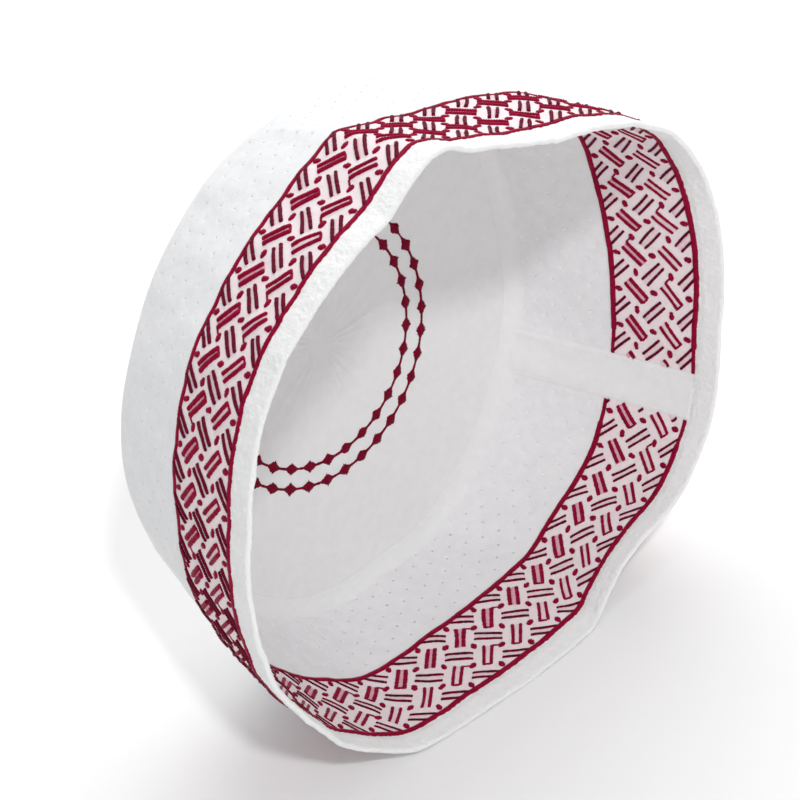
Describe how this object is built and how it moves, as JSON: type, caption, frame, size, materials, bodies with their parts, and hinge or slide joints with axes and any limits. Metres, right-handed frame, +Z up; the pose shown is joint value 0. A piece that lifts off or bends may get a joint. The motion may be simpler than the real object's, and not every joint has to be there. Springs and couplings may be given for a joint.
{
  "type": "prayer cap",
  "caption": "Soft round white cotton prayer cap with a flat crown, an upright wall, a crimson embroidered basketweave band and a plain folded hem, lying on its wall.",
  "frame": {"origin": "centre of the footprint of the cap's box, on the surface that the cap lies on", "axes": "+Z up, +X along the cap's widest side, and the opening towards -Y with the crown towards +Y, the cap's own axis tipped back by 9 degrees"},
  "size_m": [0.1907, 0.0928, 0.1688],
  "materials": {
    "crown_cloth": "plain woven white cotton with faint sewn rays",
    "seam_cloth": "doubled white cotton, topstitched",
    "pinhole_cloth": "white cotton with staggered pinholes",
    "satin_stitch": "crimson satin stitch on white cotton",
    "joint_cloth": "doubled white cotton",
    "hem_cloth": "folded white cotton, slightly fuzzy",
    "diamond_thread": "dark crimson satin stitch"
  },
  "bodies": {
    "root": {"crown_panel": "crown_cloth", "crown_seam": "seam_cloth", "side_wall": "pinhole_cloth", "embroidered_band": "satin_stitch", "back_joint": "joint_cloth", "rim_hem": "hem_cloth", "diamond_ring_outer": "diamond_thread", "diamond_ring_inner": "diamond_thread"}
  },
  "joints": []
}
